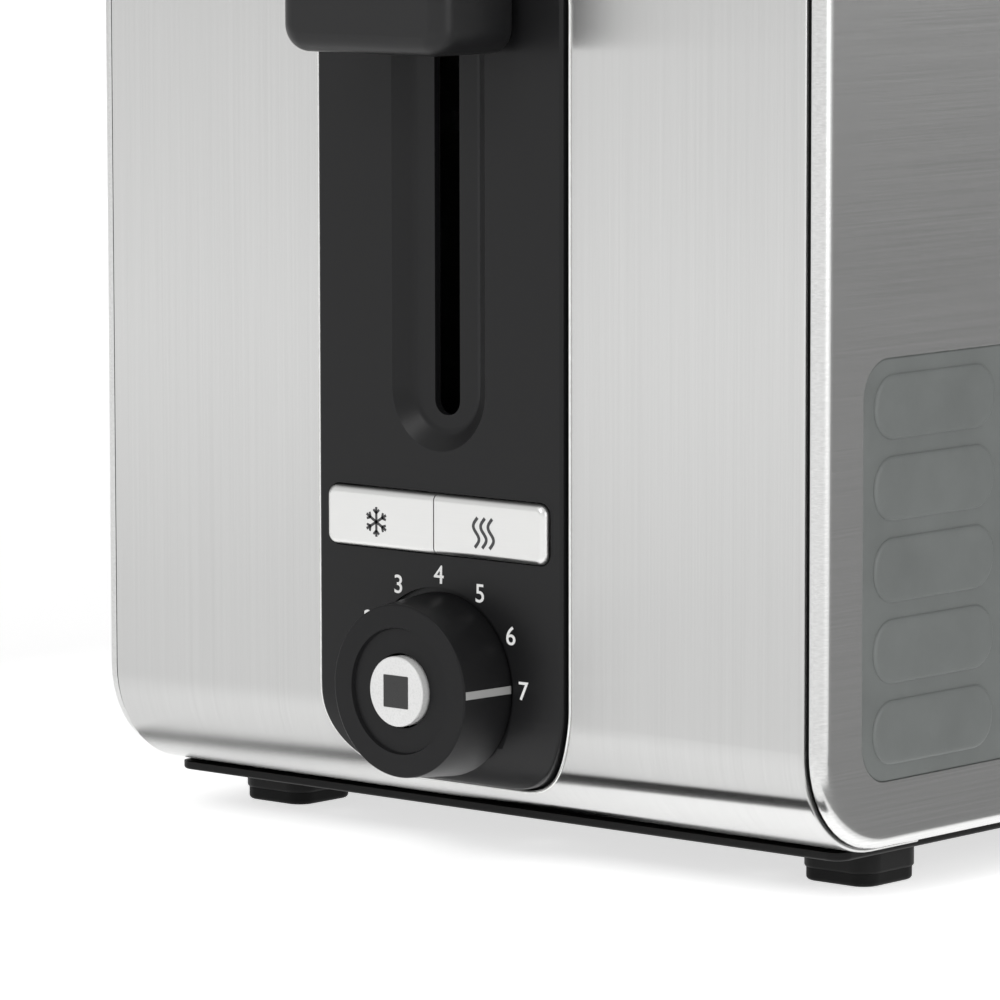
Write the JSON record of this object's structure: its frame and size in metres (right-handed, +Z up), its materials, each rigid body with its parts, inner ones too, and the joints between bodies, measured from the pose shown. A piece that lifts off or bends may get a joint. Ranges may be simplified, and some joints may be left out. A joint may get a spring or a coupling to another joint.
{
  "type": "pop up toaster",
  "caption": "Stainless steel pop-up toaster with two long bread slots side by side, a control panel with lever, buttons and browning dial, grip mats and a crumb tray.",
  "frame": {"origin": "centre of the box round the toaster, on the surface that its feet stand on", "axes": "+Y from the control end to the end with the cord and crumb tray, +X to the right seen from the control end, +Z up"},
  "size_m": [0.1944, 0.317, 0.2095],
  "materials": {
    "steel_end": "satin stainless, grain running up",
    "steel_side": "satin stainless, grain running along",
    "steel_top": "satin stainless",
    "frame_plastic": "black moulding",
    "base_plastic": "black moulding, fine texture",
    "panel_plastic": "dark grey moulding, fine texture",
    "mat_rubber": "grey rubber with raised pads",
    "foot_rubber": "black rubber",
    "gland_rubber": "black rubber",
    "screw_steel": "zinc plated",
    "chassis_steel": "galvanised sheet",
    "reflector": "bright sheet",
    "mica": "mica sheet",
    "ribbon": "resistance ribbon",
    "rod_steel": "ground steel",
    "core_iron": "laminated iron",
    "coil_copper": "enamelled copper winding in a taped bobbin",
    "terminal_plastic": "pale moulding",
    "board_laminate": "green circuit board",
    "switch_plastic": "black moulding",
    "spring_steel": "drawn wire",
    "lever_plastic": "dark moulding",
    "carriage_steel": "plated sheet",
    "guide_wire": "plated wire",
    "knob_plastic": "dark grey moulding",
    "pointer_plastic": "light grey strip",
    "sleeve_plastic": "black moulding",
    "cap_plastic": "white moulding",
    "lens": "dark smoked lens",
    "button_metal": "satin silver",
    "tray_steel": "plain sheet",
    "tray_plastic": "black moulding"
  },
  "bodies": {
    "casing": {"front_cover": "steel_end", "top_cover": "steel_top", "rear_cover": "steel_end", "side_shell_left": "steel_side", "side_shell_right": "steel_side", "side_frame_left": "frame_plastic", "side_frame_right": "frame_plastic", "grip_mat_left": "mat_rubber", "grip_mat_right": "mat_rubber", "control_panel": "panel_plastic", "base_plate": "base_plastic", "base_screws": "screw_steel", "foot_front_left": "foot_rubber", "foot_front_right": "foot_rubber", "foot_rear_left": "foot_rubber", "foot_rear_right": "foot_rubber", "chassis_front_plate": "chassis_steel", "chassis_rear_plate": "chassis_steel", "reflector_left": "reflector", "reflector_right": "reflector", "mica_board_left": "mica", "mica_board_centre": "mica", "mica_board_right": "mica", "heater_ribbons_left": "ribbon", "heater_ribbons_centre": "ribbon", "heater_ribbons_right": "ribbon", "guide_rod_left": "rod_steel", "guide_rod_right": "rod_steel", "rod_bracket_bottom": "chassis_steel", "rod_bracket_top": "chassis_steel", "magnet_core": "core_iron", "magnet_coil": "coil_copper", "terminal_block": "terminal_plastic", "control_board": "board_laminate", "board_screws": "screw_steel", "dial_encoder": "switch_plastic", "tact_switches": "switch_plastic", "cord_gland": "gland_rubber", "carriage_spring_left": "spring_steel", "carriage_spring_right": "spring_steel"},
    "carriage": {"lever_knob": "lever_plastic", "lever_arm": "carriage_steel", "carriage_bracket": "carriage_steel", "armature_plate": "core_iron", "bread_rack_left": "carriage_steel", "bread_rack_right": "carriage_steel"},
    "guide_left_outer": {"bread_guide_left_outer": "guide_wire"},
    "guide_left_inner": {"bread_guide_left_inner": "guide_wire"},
    "guide_right_inner": {"bread_guide_right_inner": "guide_wire"},
    "guide_right_outer": {"bread_guide_right_outer": "guide_wire"},
    "knob": {"browning_knob": "knob_plastic", "knob_pointer": "pointer_plastic", "knob_sleeve": "sleeve_plastic"},
    "stop": {"stop_button": "cap_plastic", "stop_button_lens": "lens"},
    "defrost": {"defrost_button": "button_metal"},
    "reheat": {"reheat_button": "button_metal"},
    "tray": {"crumb_tray": "tray_steel", "crumb_tray_handle": "tray_plastic"}
  },
  "joints": [
    {"name": "lever_slide", "type": "slide", "parent": "casing", "child": "carriage", "axis": [0, 0, -1], "range_m": [0, 0.077], "stiffness_N_per_m": 78, "springref_m": -0.077, "deforming": ["carriage_spring_left", "carriage_spring_right"]},
    {"name": "guide_left_outer_slide", "type": "slide", "parent": "casing", "child": "guide_left_outer", "axis": [1, 0, 0], "range_m": [0, 0.0055]},
    {"name": "guide_left_inner_slide", "type": "slide", "parent": "casing", "child": "guide_left_inner", "axis": [-1, 0, 0], "range_m": [0, 0.0055]},
    {"name": "guide_right_inner_slide", "type": "slide", "parent": "casing", "child": "guide_right_inner", "axis": [1, 0, 0], "range_m": [0, 0.0055]},
    {"name": "guide_right_outer_slide", "type": "slide", "parent": "casing", "child": "guide_right_outer", "axis": [-1, 0, 0], "range_m": [0, 0.0055]},
    {"name": "knob_turn", "type": "hinge", "parent": "casing", "child": "knob", "pos_m": [0, -0.1415, 0.0365], "axis": [0, -1, 0], "range_deg": [0, 180]},
    {"name": "stop_press", "type": "slide", "parent": "casing", "child": "stop", "axis": [0, 1, 0], "range_m": [0, 0.0015], "stiffness_N_per_m": 400, "springref_m": -0.002},
    {"name": "defrost_press", "type": "slide", "parent": "casing", "child": "defrost", "axis": [0, 1, 0], "range_m": [0, 0.0015], "stiffness_N_per_m": 400, "springref_m": -0.002},
    {"name": "reheat_press", "type": "slide", "parent": "casing", "child": "reheat", "axis": [0, 1, 0], "range_m": [0, 0.0015], "stiffness_N_per_m": 400, "springref_m": -0.002},
    {"name": "tray_slide", "type": "slide", "parent": "casing", "child": "tray", "axis": [0, 1, 0], "range_m": [0, 0.16]}
  ],
  "couplings": [
    {"joint": "guide_left_outer_slide", "follows": "lever_slide", "ratio": 0.0714},
    {"joint": "guide_left_inner_slide", "follows": "lever_slide", "ratio": 0.0714},
    {"joint": "guide_right_inner_slide", "follows": "lever_slide", "ratio": 0.0714},
    {"joint": "guide_right_outer_slide", "follows": "lever_slide", "ratio": 0.0714}
  ]
}
